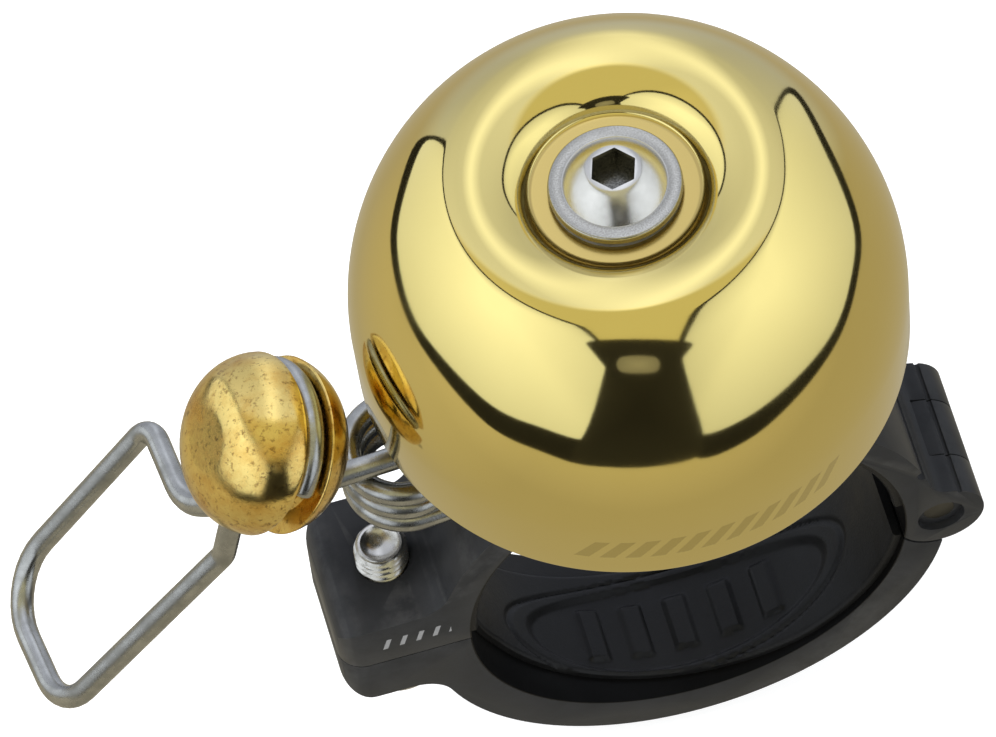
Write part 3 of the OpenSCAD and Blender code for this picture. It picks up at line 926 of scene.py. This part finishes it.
# Outlines of the lights and cards, as the dome mirrors them: across and up, in dome radii
LEFT_LIGHT = [(-0.72, 0.53), (-0.645, 0.52), (-0.60, 0.42), (-0.53, 0.26), (-0.43, 0.12), (-0.28, -0.02),
              (-0.17, -0.125), (-0.085, -0.22), (-0.115, -0.38), (-0.14, -0.51), (-0.31, -0.47),
              (-0.48, -0.395), (-0.655, -0.225), (-0.76, -0.07), (-0.81, 0.13), (-0.80, 0.30)]
RIGHT_LIGHT = [(0.57, 0.70), (0.485, 0.52), (0.455, 0.36), (0.40, 0.23), (0.325, 0.075), (0.24, -0.07),
               (0.18, -0.21), (0.215, -0.35), (0.24, -0.49), (0.40, -0.44), (0.57, -0.31), (0.71, -0.14),
               (0.775, 0.045), (0.785, 0.245), (0.68, 0.515)]
BLACK_CARD = [(-0.14, -0.17), (0.20, -0.17), (0.185, -0.23), (0.22, -0.36), (0.26, -0.50), (0.24, -0.57),
              (0.10, -0.605), (-0.06, -0.61), (-0.20, -0.585), (-0.15, -0.48), (-0.115, -0.38),
              (-0.08, -0.24)]
WINDOW = [(-0.03, -0.225), (0.09, -0.225), (0.09, -0.275), (-0.03, -0.275)]


def make_studio():
    """Two soft lights with dark edges and a black card with a window, for the dome to mirror."""
    cool = (0.97, 1.03, 1.13)
    edge_margin, edge_sag = 0.025, 0.14
    lights = [("left", LEFT_LIGHT, 1.42, 0.92), ("right", RIGHT_LIGHT, 1.28, 0.80)]
    for side, outline, brightness, edge_brightness in lights:
        light_card(side + "_light", outline, 800, brightness, edge_brightness, cool)
        light_card(side + "_edge", grown(outline, edge_margin, edge_sag), 900, 0.03, 0.02)
    light_card("black_card", BLACK_CARD, 700, 0.02, 0.03)
    light_card("window", WINDOW, 600, 0.35, 0.25)


def make_world():
    """Pale light from all round, lower beside the camera, that the camera sees as white."""
    warm, warmer, cool = (1.04, 0.945, 0.72), (1.02, 0.96, 0.62), (1.02, 1.08, 1.26)
    base = 0.46
    world = bpy.data.worlds.new("studio")
    bpy.context.scene.world = world
    world.use_nodes = True
    tree = world.node_tree
    direction = node(tree, "TexCoord").outputs["Generated"]

    def along(axis):
        """The share of the direction that goes along an axis."""
        dot = node(tree, "VectorMath", direction, tuple(axis), props={"operation": "DOT_PRODUCT"})
        return dot.outputs["Value"]

    sideways, height, depth = (along(axis) for axis in camera_axes())
    off_middle = maths(tree, "ABSOLUTE", maths(tree, "ADD", sideways, 0.03))
    ceiling = product(tree, span(tree, height, 0.42, 0.50), span(tree, depth, -0.9, -0.3),
                      span(tree, off_middle, 0.03, 0.28, 0.60, 0.17))
    in_front = span(tree, depth, -0.2, 0.7, 0.0, 0.24)
    from_left = span(tree, sideways, -0.9, -0.5, 0.12, 0.0)
    level = maths(tree, "ADD", maths(tree, "ADD", ceiling, in_front),
                  maths(tree, "ADD", from_left, base))
    tint = blend_colour(tree, span(tree, depth, 0.0, 0.8), warm, warmer)
    tint = blend_colour(tree, span(tree, height, 0.40, 0.55), tint, cool)
    lit = tree.nodes["Background"]
    tree.links.new(tint, lit.inputs[0])
    tree.links.new(level, lit.inputs[1])
    white = node(tree, "Background", (1, 1, 1, 1), 1.0)
    seen = node(tree, "LightPath").outputs["Is Camera Ray"]
    mix = node(tree, "MixShader", seen, lit.outputs[0], white.outputs[0])
    tree.links.new(mix.outputs[0], tree.nodes["World Output"].inputs[0])


def make_floor():
    """A pale floor under the clamp, low enough for the strap to swing open."""
    room_to_swing, half = 3.2, 3000
    z = -STRAP_R - room_to_swing
    mesh = bpy.data.meshes.new("floor")
    corners = [(-half, -half, z), (half, -half, z), (half, half, z), (-half, half, z)]
    mesh.from_pydata([Vector(c) * MM for c in corners], [], [(0, 1, 2, 3)])
    material, tree, shader = new_material("pale_floor")
    finish_with(tree, shader, Base_Color=(0.35, 0.35, 0.35, 1), Roughness=0.9,
                Emission_Color=(1, 1, 1, 1), Emission_Strength=0.84)
    mesh.materials.append(material)
    floor = bpy.data.objects.new("floor", mesh)
    floor.visible_glossy = False
    bpy.context.scene.collection.objects.link(floor)


def make_key_light():
    """A broad soft light above and a little in front."""
    lamp = bpy.data.lights.new("key", "AREA")
    lamp.shape = "DISK"
    lamp.size = 0.5
    lamp.energy = 11
    obj = bpy.data.objects.new("key", lamp)
    obj.location = (-0.25, -0.1, 0.8)
    obj.rotation_euler = (Vector((0, 0, 0)) - obj.location).to_track_quat("-Z", "Y").to_euler()
    obj.visible_glossy = False
    bpy.context.scene.collection.objects.link(obj)


make_dome()
make_dome_screw()
make_wire()
make_ball()
make_clamp_screw()
make_liners()
make_bevelled_parts()
finish_cad_nodes()
make_camera()
make_world()
make_studio()
make_floor()
make_key_light()
bpy.context.scene.view_settings.view_transform = "Standard"
